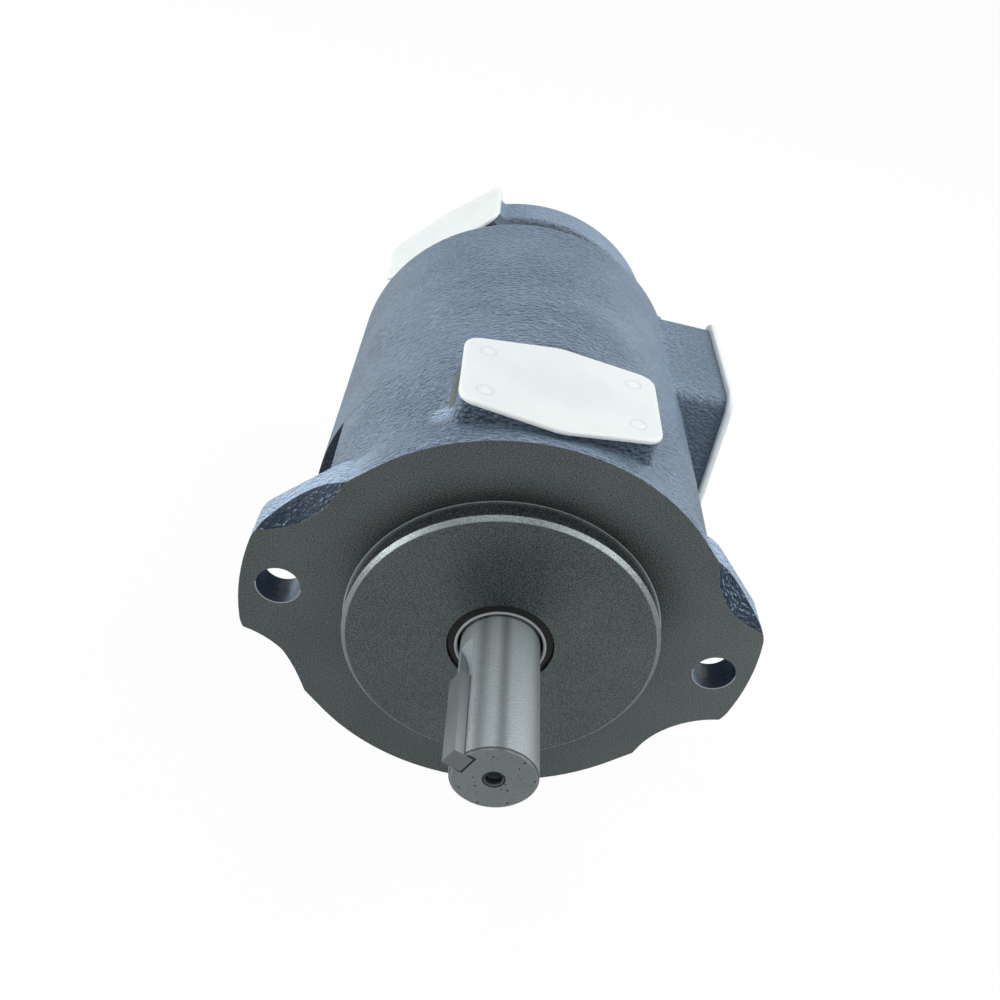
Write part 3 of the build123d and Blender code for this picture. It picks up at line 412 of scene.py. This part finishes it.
def body_paint(finish, settings, paint, relief, slope, scoop, hole):
    """Where the body's paint is darker or lighter: painted shade in the hollows, bolt holes, relief wall
    and inlet side, and painted highlights on the hole walls, ears, boss fillet and rear rim.
    """
    x, y, z = finish.x, finish.y, finish.z
    # painted light and shade in the conical hollows: lighter on the wrinkles' upper sides and towards the
    # body, painted shade elsewhere
    light = (slope * 5.0 + relief - (x.size() - 84 * MM) * 12.0).ease(0.56, 1.06)
    shade = finish.blend(light, tint(settings.scoop_shade), tint(settings.paint, 0.9))
    paint = finish.blend(scoop, paint, shade)
    # painted shade in the bolt holes, painted lighter on the inner wall of each hole
    lit_hole_side = (HOLE_X - x.size()).ease(0.5 * MM, 7.5 * MM)
    hole_shading = finish.blend(lit_hole_side * 0.75, tint(settings.bolt_hole_shade), tint(settings.paint, 1.3))
    paint = finish.blend(hole * 0.95, paint, hole_shading)
    # painted highlight on the flanks of the ears, stronger on the wrinkles' upper sides
    lit_ear = x.size().ease(EAR_ROOT_X, EAR_OUT_X) * y.below(EAR_BACK) * (1.0 - scoop) * (1.0 - hole)
    paint = finish.blend(lit_ear * (0.6 + slope * 5.0), paint, tint(settings.paint, 2.1))
    # painted shade on the rear wall of the room for the mounting bolts
    relief_wall_shade = y.near(RELIEF_END, 0.3 * MM) * x.size().above(60 * MM)
    paint = finish.blend(relief_wall_shade * 0.9, paint, tint(settings.shaded_paint, 0.15))
    # painted highlight on the fillet at the foot of the front boss
    fillet_highlight = ((x - FILLET_HIGHLIGHT[0]) ** 2 + (y - FILLET_HIGHLIGHT[1]) ** 2 + (z - FILLET_HIGHLIGHT[2]) ** 2) ** 0.5
    fillet_highlight = (1.0 - fillet_highlight.ease(3 * MM, 7 * MM)) * (0.6 + slope * 6.0)
    paint = finish.blend(fillet_highlight, paint, tint(settings.paint, 2.0))
    # painted shade on the inlet side of the body
    inlet = x.ease(68 * MM, 88 * MM) * y.above(INLET_START)
    paint = finish.blend(inlet * 0.2, paint, tint(settings.shaded_paint))
    # painted highlight on the rounded rear rim of the body
    rear_rim_highlight = y.ease(BODY_END - 3 * MM, BODY_END - 1 * MM) * y.below(BODY_END + 0.5 * MM)
    rear_rim_highlight = rear_rim_highlight * finish.radius.above(80 * MM)
    return finish.blend(rear_rim_highlight * 0.6, paint, tint(settings.paint, 1.8))


def rear_paint(finish, settings, paint):
    """The rear cover gets painted shade on its neck and a painted highlight on its rim."""
    # painted shade on the neck and a painted highlight on the rim behind it
    neck = 1.0 - finish.y.ease(NECK_END - 3 * MM, NECK_END + 0.5 * MM)
    paint = finish.blend((1.0 - neck) * 0.3, paint, tint(settings.paint, 1.7))
    return finish.blend(neck * 0.7, paint, tint(settings.shaded_paint, 0.6))


def bare_iron(finish, settings, from_hole=None):
    """Colour, normal and roughness of turned iron. The flange's painted light, shade and highlights, and
    the smoother side of its pilot, need from_hole.
    """
    x, y, z, radius = finish.x, finish.y, finish.z, finish.radius
    fine = finish.noise(2800.0, 2.0, 0.6)
    specks = finish.noise(1800.0, 2.0, 0.6)
    clouds = finish.noise(30.0, 3.0, 0.55)
    turned = finish.noise(1600.0, 2.0, 0.5, finish.vector(radius, y, 0.0))
    normal = finish.bump(fine * 0.35 + specks * 0.45 + turned * 0.2, 0.14 * MM)
    glints = finish.noise(1900.0, 2.0, 0.7).ease(0.60, 0.72)
    spots = specks.ease(0.36, 0.64) * 0.42 + fine.ease(0.3, 0.7) * 0.35 + clouds * 0.23 + glints * 0.35
    rough = 0.36 + (specks - 0.5) * 0.25
    if from_hole is not None:
        pilot = radius.below(PILOT_R - 0.1 * MM)
        above_shaft = 1.0 - (finish.angle + 0.08).size().ease(0.1, 1.0)
        pilot_shade = above_shaft * (1.0 - radius.ease(24 * MM, 62 * MM) * 0.5) * pilot
        foot_shade = (1.0 - radius.ease(63 * MM, 82 * MM)) * z.ease(0.0, 40 * MM) * (1.0 - pilot)
        # painted light: the flange is lighter towards the inlet side; painted shade above the shaft on the
        # pilot and round the pilot's foot
        spots = spots + x.ease(35 * MM, 110 * MM) * 0.16 - pilot_shade * 0.22 - foot_shade * 0.24
    iron = finish.blend(spots, tint(settings.bare, 0.10), tint(settings.bare, 1.92))
    if from_hole is not None:
        # painted highlights on the pilot's chamfer rim, along its foot and on the lips of the bolt holes
        chamfer_end = PILOT_H - PILOT_CHAMFER
        rim = (radius - y).near(PILOT_R + chamfer_end, 0.25 * MM) * y.below(0.2 * MM - chamfer_end)
        foot = radius.near(PILOT_R + 0.35 * MM, 0.28 * MM) * y.near(0.0, 0.1 * MM)
        lip = from_hole.near(HOLE_R + 0.25 * MM, 0.25 * MM) * y.below(SKIN) * z.below(0.0)
        edge_highlight = finish.blend(specks.ease(0.3, 0.7), tint(settings.bare, 1.7),
                                   tint(settings.bare, 3.1))
        iron = finish.blend(rim.at_least(foot), iron, edge_highlight)
        iron = finish.blend(foot.at_least(lip * 0.7), iron, tint(settings.bare, 4.5))
        side = radius.near(PILOT_R, 0.1 * MM) * y.below(-0.2 * MM)
        rough = rough - side * 0.12
    return iron, normal, rough


def body_bare(finish):
    """1 on the body's machined faces and bores, and on the worn strip beside the front port's cover."""
    x, y, z = finish.x, finish.y, finish.z
    bare = y.below(SKIN).at_least(z.above(FRONT_PORT_FACE - 2 * SKIN))
    bare = bare.at_least(x.above(INLET_FACE - 2 * SKIN) * y.above(INLET_START))
    worn = x.near(WORN_STRIP[0], 1.2 * MM) * y.near(WORN_STRIP[1], 14 * MM) * z.above(WORN_STRIP[2])
    bore = finish.radius.below(BODY_BORE_R + 0.5 * MM) * y.above(0.4 * MM)
    return bare.at_least(worn).at_least(bore)


def rear_bare(finish):
    """1 on the rear port's face and in the rear cover's bore."""
    outward = (finish.z - finish.x) * math.sqrt(0.5)
    bore = finish.radius.below(REAR_BORE_R) * finish.y.below(REAR_BORE_END)
    return outward.above(REAR_PORT_FACE - 2 * SKIN).at_least(bore)


def casting_finish(settings, flange):
    """Rough painted casting. The flange face, port faces and bores are bare machined iron."""
    finish = PumpFinish("painted casting" if flange else "painted rear cover")
    x, y, z = finish.x, finish.y, finish.z
    rounded, edge = finish.edges(settings.soft_edge)
    facing = finish.axes(finish.node("ShaderNodeNewGeometry", output="Normal"))[1]
    if flange:
        from_scoop = ((x.size() - SCOOP_X) ** 2 + (z.size() - SCOOP_Z) ** 2) ** 0.5
        scoop = (from_scoop + y * SCOOP_SLOPE).near(SCOOP_R, 0.5 * MM)
        scoop = scoop * y.below(SCOOP_BACK) * y.above(SKIN)
        from_hole = ((x.size() - HOLE_X) ** 2 + z ** 2) ** 0.5
        hole = from_hole.below(HOLE_R + 0.35 * MM) * y.above(SKIN) * y.below(EAR_BACK)
        calm = scoop.at_least(hole)
    else:
        from_hole = None
        scoop = calm = 0.0
    relief, slope = skin_relief(finish, scoop, facing.size().above(0.8))
    paint = painted_skin(finish, settings, relief, slope, edge)
    if flange:
        height = (relief + flow_marks(finish) * 0.12) * (1.0 - hole * 0.85)
        paint = body_paint(finish, settings, paint, relief, slope, scoop, hole)
        bare = body_bare(finish)
    else:
        height = relief
        paint = rear_paint(finish, settings, paint)
        bare = rear_bare(finish)
    # painted shade on walls that face forward
    front_facing_shade = (0.0 - facing).ease(0.35, 0.95) * (1.0 - calm)
    paint = finish.blend(front_facing_shade * 0.45, paint, tint(settings.shaded_paint, 0.5))
    iron, iron_normal, rough_iron = bare_iron(finish, settings, from_hole)
    skin = finish.bump(height, settings.wrinkle, rounded)
    rough_paint = 0.40 + (relief - 0.5) * -0.25 + scoop * 0.25
    return finish.surface(
        Base_Color=finish.blend(bare, paint, iron), Metallic=bare * 0.75,
        Roughness=rough_paint + (rough_iron - rough_paint) * bare,
        Normal=finish.blend_vectors(bare, skin, iron_normal), Specular_IOR_Level=0.5,
        Coat_Weight=(1.0 - bare) * (1.0 - calm) * 0.2, Coat_Roughness=0.22)


def steel_finish(name, colour, rough, turned=False, grain=2200.0, depth=0.02 * MM, metallic=1.0):
    """Bare metal with grinding marks, either round the shaft axis or all over."""
    finish = PumpFinish(name)
    place = finish.vector(finish.angle * 0.004, finish.y, finish.radius) if turned else None
    marks = finish.noise(grain, 3.0, 0.6, place)
    cloud = finish.noise(90.0, 3.0, 0.5)
    tone = finish.blend(marks * 0.5 + cloud * 0.5, tint(colour, 0.78), tint(colour, 1.18))
    return finish.surface(Base_Color=tone, Metallic=metallic, Roughness=rough + (cloud - 0.5) * 0.16,
                          Normal=finish.bump(marks, depth))


def shaft_finish(settings):
    """Ground steel: fine rings round the shaft, and a duller sawn end with small pits."""
    finish = PumpFinish("ground shaft")
    x, y, z, radius, angle = finish.x, finish.y, finish.z, finish.radius, finish.angle
    end = y.below(SHAFT_FRONT + 0.04 * MM)
    chamfer = y.below(SHAFT_FRONT + SHAFT_CHAMFER - 0.04 * MM) * (1.0 - end) * radius.above(14 * MM)
    rings = finish.noise(1600.0, 2.0, 0.6, finish.vector(angle * 0.006, y, radius * 0.2))
    grain = finish.noise(1900.0, 3.0, 0.7)
    cloud = finish.noise(110.0, 3.0, 0.5)
    pits = finish.noise(900.0, 1.0, 0.4).ease(0.70, 0.73) * (0.3 + end * 0.7)
    shade = rings * 0.3 + grain * 0.5 + cloud * 0.2
    # painted reflection: brighter and darker bands round the shaft at given angles
    reflection_bands = 1.0 + finish.noise(9.0, 1.0, 0.5, finish.vector(angle, 0.0, 0.0)) * 0.2
    for middle, reach, gain in SHAFT_REFLECTION_BANDS:
        reflection_bands = reflection_bands + (1.0 - (angle - middle).size().ease(0.0, reach)) * gain
    tone = finish.blend(shade * 0.3 + reflection_bands * 0.7, tint(settings.shaft, 0.30), tint(settings.shaft))
    dull = finish.blend(grain * 0.7 + cloud * 0.3, tint(settings.end, 0.7), tint(settings.end, 1.3))
    tone = finish.blend(end, tone, dull)
    # painted shade on the chamfer of the shaft's end
    tone = finish.blend(chamfer * 0.8, tone, tint(settings.end, 0.4))
    tone = finish.blend(pits * 0.9, tone, tint(settings.grime_and_shade))
    # painted shade in the keyway
    keyway = radius.below(KEYWAY_R) * y.above(SHAFT_FRONT + 0.5 * MM) * y.below(0.0)
    tone = finish.blend(keyway * 0.6, tone, tint(settings.grime_and_shade))
    outward = x * math.cos(KEY_TURN) + z * math.sin(KEY_TURN)
    sideways = z * math.cos(KEY_TURN) - x * math.sin(KEY_TURN)
    gap = end * outward.above(KEY_FOOT) * sideways.above(KEY_SIDES[0]) * sideways.below(KEY_SIDES[1])
    # the gaps beside the key are dark joints; the centre hole's ring is painted shade
    hole = radius.below(HOLE_SHADE_R) * y.below(SHAFT_FRONT + 3 * MM)
    tone = finish.blend(gap.at_least(hole * 0.9) * 0.95, tone, tint(settings.grime_and_shade, 0.26))
    wave = finish.bump(rings * (1.0 - end), settings.rings)
    return finish.surface(
        Base_Color=tone, Metallic=0.22 + end * 0.37, Roughness=0.37 + (grain - 0.5) * 0.2 + end * 0.21,
        Normal=finish.bump(grain * 0.6 - pits * 2.0, 0.05 * MM, wave))


def rubber_finish():
    """Black rubber with a faint skin."""
    finish = Finish("seal rubber")
    skin = finish.noise(1500.0, 3.0, 0.6)
    cloud = finish.noise(200.0, 2.0, 0.5)
    colour = finish.blend(cloud, (0.003, 0.003, 0.004, 1), (0.012, 0.012, 0.014, 1))
    return finish.surface(Base_Color=colour, Roughness=0.30 + (skin - 0.5) * 0.2,
                          Normal=finish.bump(skin, 0.03 * MM))


def plastic_finish(settings):
    """Milky polythene, bluer in the middle of the front plate, with painted shade in the grooves of its
    dimples.
    """
    finish = Finish("milky plastic")
    x, y, z = finish.axes()
    cloud = finish.noise(38.0, 2.0, 0.5)
    skin = finish.noise(900.0, 2.0, 0.5)
    scuffs = finish.noise(260.0, 3.0, 0.6).ease(0.60, 0.75)
    middle = 1.0 - ((x * x * 0.55 + (y - FRONT_PORT_Y) ** 2 * 1.8) ** 0.5).ease(4 * MM, 30 * MM)
    colour = finish.blend(cloud.ease(0.35, 0.65), tint(settings.plastic), tint(settings.plastic, 1.05))
    colour = finish.blend(middle * 0.7 + scuffs * 0.15, colour, tint(settings.thin))
    across, along = FRONT_PORT_BOLTS
    dimple = ((x.size() - across) ** 2 + ((y - FRONT_PORT_Y).size() - along) ** 2) ** 0.5
    # painted shade in the grooves of the dimples
    groove_shade = (1.0 - (dimple - 3.2 * MM).size().ease(0.2 * MM, 1.1 * MM)) * z.above(88 * MM)
    colour = finish.blend(groove_shade * 0.7, colour, tint(settings.thin, 0.93))
    return finish.surface(Base_Color=colour, Roughness=0.34 + (skin - 0.5) * 0.12,
                          Normal=finish.bump(skin * 0.25 + cloud * 0.75, 0.35 * MM),
                          Subsurface_Weight=0.6, Subsurface_Radius=(1.0, 1.0, 1.0),
                          Subsurface_Scale=4 * MM)


def dress(material, *words):
    """Gives a material to every CAD node whose name holds one of the words."""
    for name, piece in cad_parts.items():
        if any(word in name for word in words):
            piece.data.materials.clear()
            piece.data.materials.append(material)


def smooth_edges(*names, angle=32):
    """Shades round walls smooth and keeps the edges that turn more than the angle in degrees."""
    bpy.ops.object.select_all(action="DESELECT")
    for name in names:
        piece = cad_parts[name]
        piece.select_set(True)
        bpy.context.view_layer.objects.active = piece
    bpy.ops.object.shade_smooth_by_angle(angle=math.radians(angle))
    bpy.ops.object.select_all(action="DESELECT")


class PUMP_OT_castings(bpy.types.Operator):
    """Paint the two castings and bare their machined faces"""
    bl_idname = "pump.castings"
    bl_label = "Castings"

    def execute(self, context):
        settings = context.scene.pump_casting
        dress(casting_finish(settings, True), "body_casting")
        dress(casting_finish(settings, False), "rear_cover")
        smooth_edges("body_casting", "rear_cover")
        return {"FINISHED"}


class PUMP_OT_shaft(bpy.types.Operator):
    """Finish the shaft, its key and the shaft seal"""
    bl_idname = "pump.shaft"
    bl_label = "Shaft, key and seal"

    def execute(self, context):
        metal = context.scene.pump_metal
        case = steel_finish("bright seal case", tint(metal.bright, 1.2), 0.3, turned=True, metallic=0.8)
        dress(shaft_finish(metal), "shaft")
        dress(steel_finish("drawn key", metal.key, 0.42, grain=1800.0, metallic=0.6), "shaft_key")
        dress(rubber_finish(), "shaft_seal", "hub_seal", "cover_seal_ring")
        dress(case, "shaft_seal_case")
        smooth_edges("shaft", "shaft_key", "shaft_seal", "shaft_seal_case")
        return {"FINISHED"}


class PUMP_OT_inside(bpy.types.Operator):
    """Finish the bearing and the two vane cartridges"""
    bl_idname = "pump.inside"
    bl_label = "Bearing and cartridges"

    def execute(self, context):
        metal = context.scene.pump_metal
        bright = steel_finish("hardened steel", metal.bright, 0.24, turned=True)
        black = steel_finish("blackened steel", metal.dark, 0.45)
        iron = steel_finish("machined iron", metal.iron, 0.48, turned=True, grain=1500.0, depth=0.04 * MM)
        bronze = steel_finish("bronze", metal.bronze, 0.36, turned=True)
        dress(bright, "bearing_outer", "bearing_inner", "bearing_balls", "bearing_cage", "cam_ring",
              "rotor", "vane", "dowel_pins")
        dress(black, "bolts", "screws", "retaining_ring", "garter_spring")
        dress(iron, "outlet_plate", "inlet_plate", "spacer")
        dress(bronze, "flex_plates", "rear_bush")
        return {"FINISHED"}


def moulded_cover(name, settings, plastic):
    """A softly moulded cover with the outline of its CAD solid, its rims and dimples rounded off."""
    bpy.ops.object.select_all(action="DESELECT")
    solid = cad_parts[name]
    cover = bpy.data.objects.new(name + "_moulded", solid.data.copy())
    bpy.context.collection.objects.link(cover)
    cover.select_set(True)
    bpy.context.view_layer.objects.active = cover
    bpy.ops.object.mode_set(mode="EDIT")
    bpy.ops.mesh.select_all(action="SELECT")
    bpy.ops.mesh.remove_doubles(threshold=0.001 * MM)
    bpy.ops.mesh.normals_make_consistent(inside=False)
    bpy.ops.object.mode_set(mode="OBJECT")
    remesh = cover.modifiers.new("Even skin", "REMESH")
    remesh.mode = "VOXEL"
    remesh.voxel_size = settings.voxel
    remesh.use_smooth_shade = True
    smooth = cover.modifiers.new("Moulded edges", "SMOOTH")
    smooth.factor = 0.5
    smooth.iterations = settings.rounding
    for modifier in ("Even skin", "Moulded edges"):
        bpy.ops.object.modifier_apply(modifier=modifier)
    cover.data.materials.clear()
    cover.data.materials.append(plastic)
    if len(cover.data.polygons) < 1000:
        raise RuntimeError(name + " has no skin")
    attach(cover, name)
    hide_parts(name)
    cover.select_set(False)


class PUMP_OT_port_covers(bpy.types.Operator):
    """Finish the plastic covers of the three ports"""
    bl_idname = "pump.port_covers"
    bl_label = "Port covers"

    def execute(self, context):
        plastic = plastic_finish(context.scene.pump_cover)
        dress(plastic, "port_cover")
        for name in ("front_port_cover", "inlet_port_cover", "rear_port_cover"):
            moulded_cover(name, context.scene.pump_cover, plastic)
        return {"FINISHED"}


def long_lamp(name, power, turn, width):
    """A long lamp parallel to the shaft, turned round the shaft from above by an angle in degrees."""
    angle = math.radians(turn)
    bpy.ops.object.light_add(type="AREA", location=(math.sin(angle), LAMP_Y, math.cos(angle)),
                             rotation=(0, angle, 0))
    light = bpy.context.object
    light.name = name
    light.data.energy = power
    light.data.shape = "RECTANGLE"
    light.data.size = width
    light.data.size_y = LAMP_LENGTH


def rays(tree):
    """The rays that see the white backdrop, and those that only mirror it."""
    path = tree.nodes.new("ShaderNodeLightPath")
    camera, through, mirror = [Value(tree, path.outputs[name]) for name in (
        "Is Camera Ray", "Is Transmission Ray", "Is Glossy Ray")]
    return (camera + through).at_most(1.0), mirror


def floor_finish(mirrored):
    """Pale cloth that the camera sees as white with a faint shadow, and metal sees as light grey."""
    finish = Finish("pale floor")
    direct, mirror = rays(finish.tree)
    cloth = finish.node("ShaderNodeBsdfDiffuse", sockets={"Color": (0.86, 0.86, 0.86, 1)})
    grey = finish.node("ShaderNodeEmission", sockets={"Color": tint((mirrored,) * 3)})
    white = finish.node("ShaderNodeEmission", sockets={"Color": (1, 1, 1, 1)})
    mixed = finish.node("ShaderNodeMixShader", sockets={0: mirror, 1: cloth, 2: grey})
    mixed = finish.node("ShaderNodeMixShader", sockets={0: direct * 0.965, 1: mixed, 2: white})
    output = finish.tree.nodes.new("ShaderNodeOutputMaterial")
    finish.tree.links.new(mixed.socket, output.inputs["Surface"])
    return finish.material


def room(strength):
    """White where the camera looks past the object, and an even light from all round."""
    world = bpy.data.worlds.new("white room")
    world.use_nodes = True
    tree = world.node_tree
    tree.nodes.clear()
    direct, mirror = rays(tree)
    mixed = None
    for factor, level in ((None, strength), (mirror, strength * 0.65), (direct, 1.0)):
        background = tree.nodes.new("ShaderNodeBackground")
        background.inputs["Color"].default_value = tint((level,) * 3)
        if mixed is None:
            mixed = background
            continue
        mix = tree.nodes.new("ShaderNodeMixShader")
        feed(tree, mix.inputs[0], factor)
        tree.links.new(mixed.outputs[0], mix.inputs[1])
        tree.links.new(background.outputs[0], mix.inputs[2])
        mixed = mix
    output = tree.nodes.new("ShaderNodeOutputWorld")
    tree.links.new(mixed.outputs[0], output.inputs["Surface"])
    return world


class PUMP_OT_stage(bpy.types.Operator):
    """Set the camera, the lamps, the floor and the white surroundings"""
    bl_idname = "pump.stage"
    bl_label = "Stage"

    def execute(self, context):
        settings = context.scene.pump_stage
        bpy.ops.object.select_all(action="DESELECT")
        turn = Euler([math.radians(angle) for angle in CAMERA_TURN], "XYZ")
        bpy.ops.object.camera_add(location=CAMERA_PLACE, rotation=turn)
        camera = context.object
        camera.name = "photo_camera"
        camera.data.sensor_width = 36
        camera.data.lens = settings.lens
        camera.data.clip_start = 0.01
        context.scene.camera = camera
        for name, light, turn, width in LAMPS:
            long_lamp(name, getattr(settings, light), turn, width)
        bpy.ops.mesh.primitive_plane_add(size=FLOOR_SIZE, location=(0, 0, CAD_BOX[0][2] - FLOOR_GAP))
        floor = context.object
        floor.name = "floor"
        floor.data.materials.append(floor_finish(settings.mirrored))
        context.scene.world = room(settings.world)
        context.scene.view_settings.view_transform = "Standard"
        return {"FINISHED"}


class PUMP_PT_panel(bpy.types.Panel):
    """Lists the pieces of the pump and their settings"""
    bl_label = "Vane pump"
    bl_idname = "PUMP_PT_panel"
    bl_space_type = "VIEW_3D"
    bl_region_type = "UI"
    bl_category = "Vane pump"

    def draw(self, context):
        column = self.layout.column()
        for step in STEPS:
            column.operator(step.bl_idname)
        for group, keys in SETTINGS.items():
            box = self.layout.box()
            for key in keys.__annotations__:
                box.prop(getattr(context.scene, group), key)


STEPS = (PUMP_OT_castings, PUMP_OT_shaft, PUMP_OT_inside, PUMP_OT_port_covers, PUMP_OT_stage)
SETTINGS = {"pump_casting": CastingSettings, "pump_metal": MetalSettings, "pump_cover": CoverSettings,
            "pump_stage": StageSettings}


def register():
    for kind in (*SETTINGS.values(), *STEPS, PUMP_PT_panel):
        bpy.utils.register_class(kind)
    for name, kind in SETTINGS.items():
        setattr(bpy.types.Scene, name, PointerProperty(type=kind))


def unregister():
    for name in SETTINGS:
        delattr(bpy.types.Scene, name)
    for kind in reversed((*SETTINGS.values(), *STEPS, PUMP_PT_panel)):
        bpy.utils.unregister_class(kind)


def main():
    register()
    for step in STEPS:
        group, name = step.bl_idname.split(".")
        getattr(getattr(bpy.ops, group), name)()


if __name__ == "__main__":
    main()
